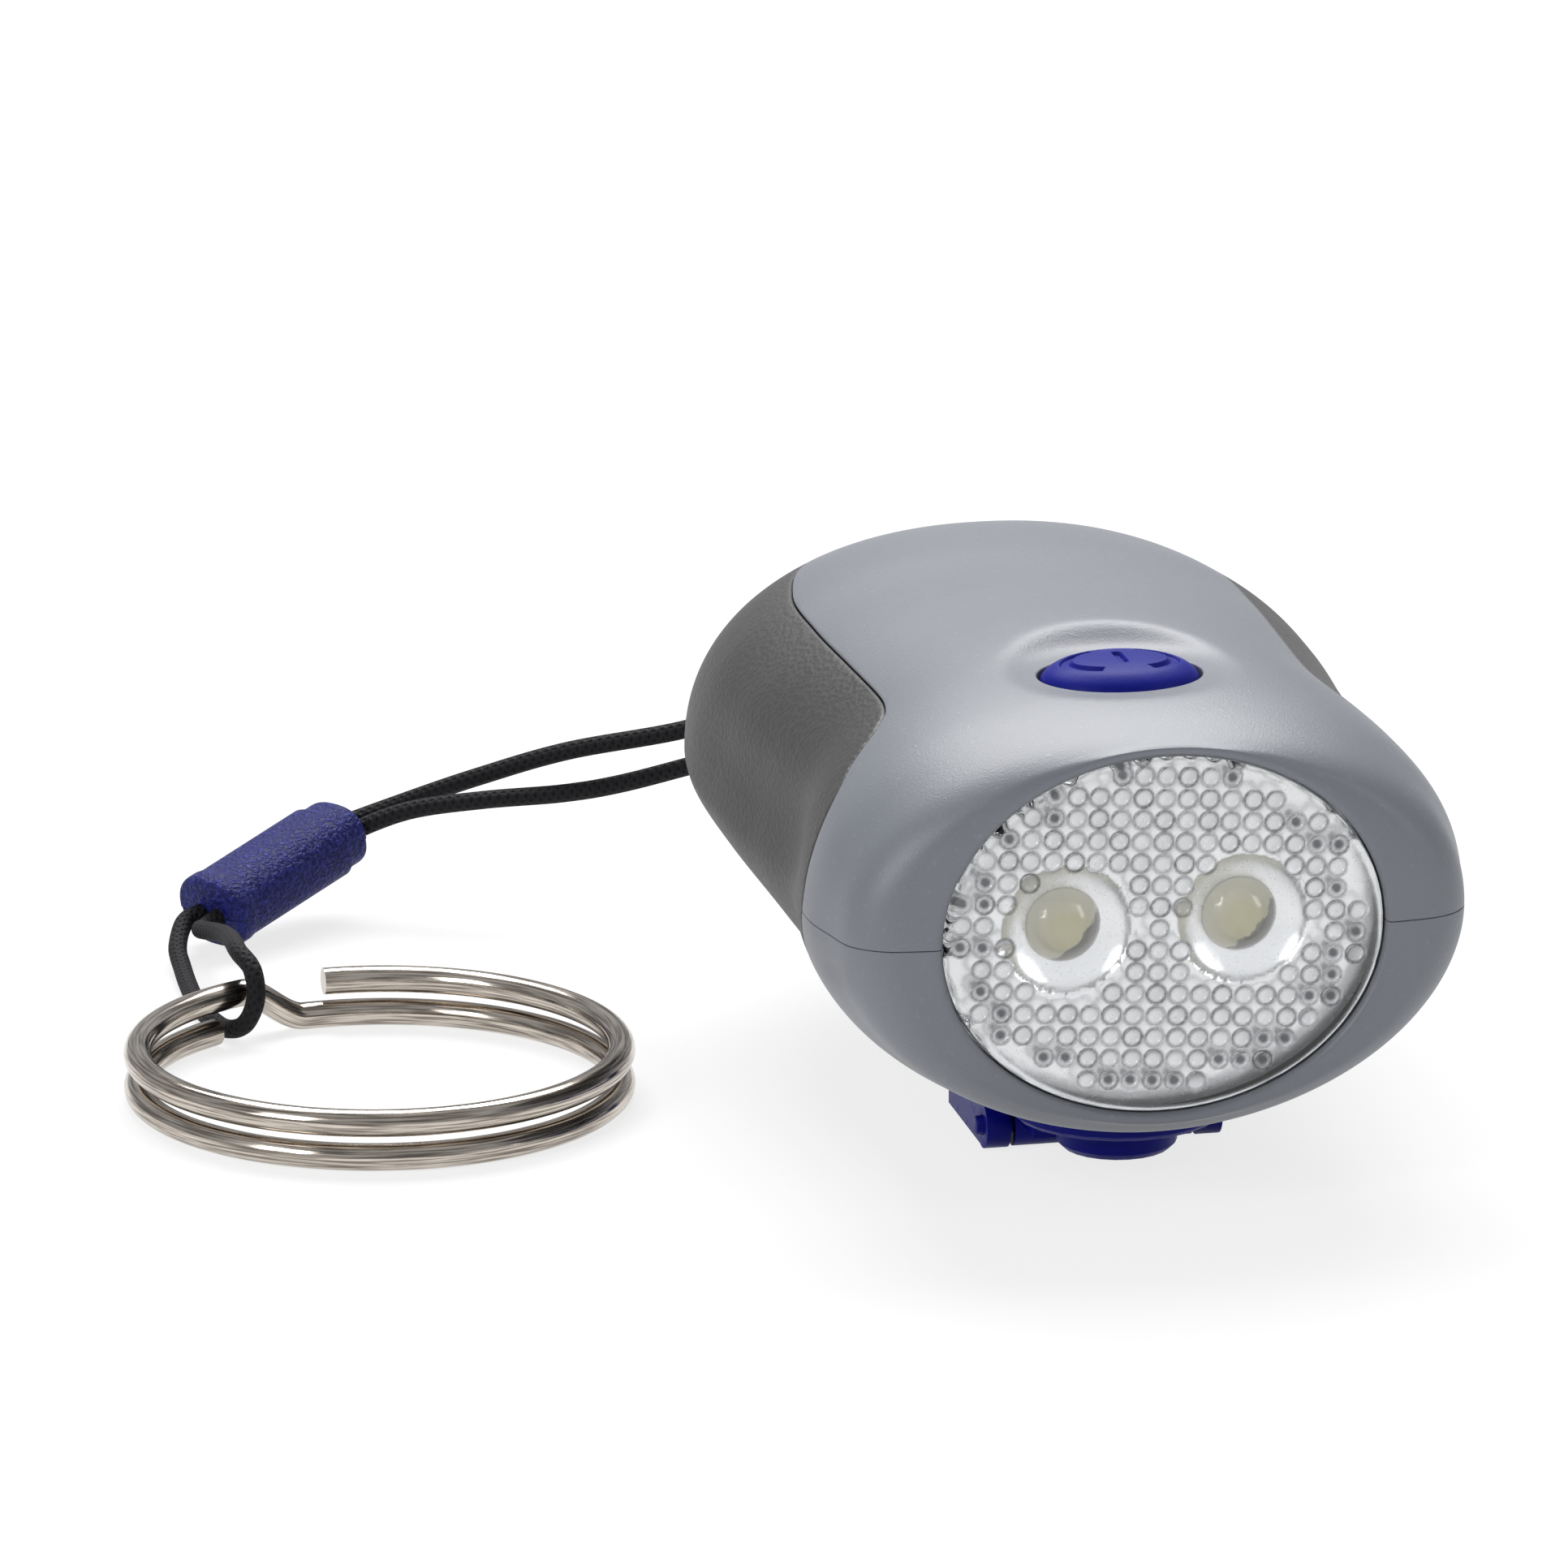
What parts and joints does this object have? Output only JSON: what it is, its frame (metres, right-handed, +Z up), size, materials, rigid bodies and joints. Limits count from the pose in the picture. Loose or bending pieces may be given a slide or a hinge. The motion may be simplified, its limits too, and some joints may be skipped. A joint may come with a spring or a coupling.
{
  "type": "hand-crank keyring torch",
  "caption": "Pocket torch with a folding dynamo crank under the body, soft side grips, a beaded lens over two lamps, a push button and a cord with a split key ring",
  "frame": {"origin": "under the middle of the torch's box, on the flat underside of the folded crank arm that it stands on", "axes": "+X is the torch's right seen from behind the lens rim looking back, +Y runs from the lens to the tail, +Z is up through the button"},
  "size_m": [0.0774, 0.0757, 0.032],
  "materials": {
    "shell_grey": "fine matte texture",
    "grip_dark": "soft touch with a leather grain",
    "crank_blue": "smooth moulded",
    "button_blue": "soft moulded",
    "lens_clear": "clear moulded beads",
    "reflector_silver": "bright metallised",
    "led_clear": "clear epoxy",
    "board_green": "solder mask",
    "switch_black": "moulded",
    "holder_black": "moulded",
    "cell_steel": "plated",
    "steel": "plated",
    "gear_white": "moulded acetal",
    "magnet_dark": "ground",
    "coil_copper": "enamelled copper winding",
    "bush_brass": "turned",
    "ring_nickel": "bright nickel",
    "cord_black": "braided",
    "lock_blue": "fine texture"
  },
  "bodies": {
    "torch": {"battery_cell": "cell_steel", "battery_holder": "holder_black", "board_screw_1": "steel", "board_screw_2": "steel", "board_screw_3": "steel", "board_screw_4": "steel", "cord_body_loop": "cord_black", "cord_ring_loop": "cord_black", "crank_bush": "bush_brass", "gear_axle_1": "steel", "gear_axle_2": "steel", "gear_plate": "steel", "key_ring": "ring_nickel", "led_board": "board_green", "led_left": "led_clear", "led_right": "led_clear", "left_grip": "grip_dark", "lens": "lens_clear", "lock_lower": "lock_blue", "lock_upper": "lock_blue", "lower_shell": "shell_grey", "main_board": "board_green", "plate_screw_1": "steel", "plate_screw_2": "steel", "plate_screw_3": "steel", "plate_screw_4": "steel", "reflector": "reflector_silver", "right_grip": "grip_dark", "shell_screw_1": "steel", "shell_screw_2": "steel", "shell_screw_3": "steel", "shell_screw_4": "steel", "stator_coil": "coil_copper", "stator_cup": "steel", "strap_pin": "steel", "switch_body": "switch_black", "upper_shell": "shell_grey"},
    "crank_hub": {"crank_hub": "crank_blue", "drive_gear": "gear_white", "hub_screw": "steel", "hinge_pin": "crank_blue"},
    "crank_arm": {"crank_arm": "crank_blue", "knob_pin": "steel"},
    "crank_knob": {"crank_knob": "crank_blue"},
    "gear_stage_1": {"compound_gear_1": "gear_white"},
    "gear_stage_2": {"compound_gear_2": "gear_white"},
    "rotor": {"rotor_shaft": "steel", "rotor_magnet": "magnet_dark"},
    "button": {"switch_button": "button_blue"},
    "plunger": {"switch_plunger": "holder_black"}
  },
  "joints": [
    {"name": "crank_spin", "type": "hinge", "parent": "torch", "child": "crank_hub", "pos_m": [0, -0.0185, 0.004], "axis": [0, 0, 1], "continuous": true},
    {"name": "arm_fold", "type": "hinge", "parent": "crank_hub", "child": "crank_arm", "pos_m": [0, -0.0143, 0.0015], "axis": [-1, 0, 0], "range_deg": [0, 180]},
    {"name": "knob_spin", "type": "hinge", "parent": "crank_arm", "child": "crank_knob", "pos_m": [0, 0.0085, 0.004], "axis": [0, 0, 1], "continuous": true},
    {"name": "gear_1_spin", "type": "hinge", "parent": "torch", "child": "gear_stage_1", "pos_m": [0, -0.0089, 0.0096], "axis": [0, 0, 1], "continuous": true},
    {"name": "gear_2_spin", "type": "hinge", "parent": "torch", "child": "gear_stage_2", "pos_m": [0, 0.0007, 0.0118], "axis": [0, 0, 1], "continuous": true},
    {"name": "rotor_spin", "type": "hinge", "parent": "torch", "child": "rotor", "pos_m": [0, 0.0103, 0.013], "axis": [0, 0, 1], "continuous": true},
    {"name": "button_press", "type": "slide", "parent": "torch", "child": "button", "axis": [0, 0, -1], "range_m": [0, 0.0006], "stiffness_N_per_m": 800, "springref_m": -0.0002},
    {"name": "plunger_press", "type": "slide", "parent": "torch", "child": "plunger", "axis": [0, 0, -1], "range_m": [0, 0.0006]}
  ],
  "couplings": [
    {"joint": "gear_1_spin", "follows": "crank_spin", "ratio": -3},
    {"joint": "gear_2_spin", "follows": "crank_spin", "ratio": 9},
    {"joint": "rotor_spin", "follows": "crank_spin", "ratio": -27},
    {"joint": "plunger_press", "follows": "button_press", "ratio": 1}
  ]
}
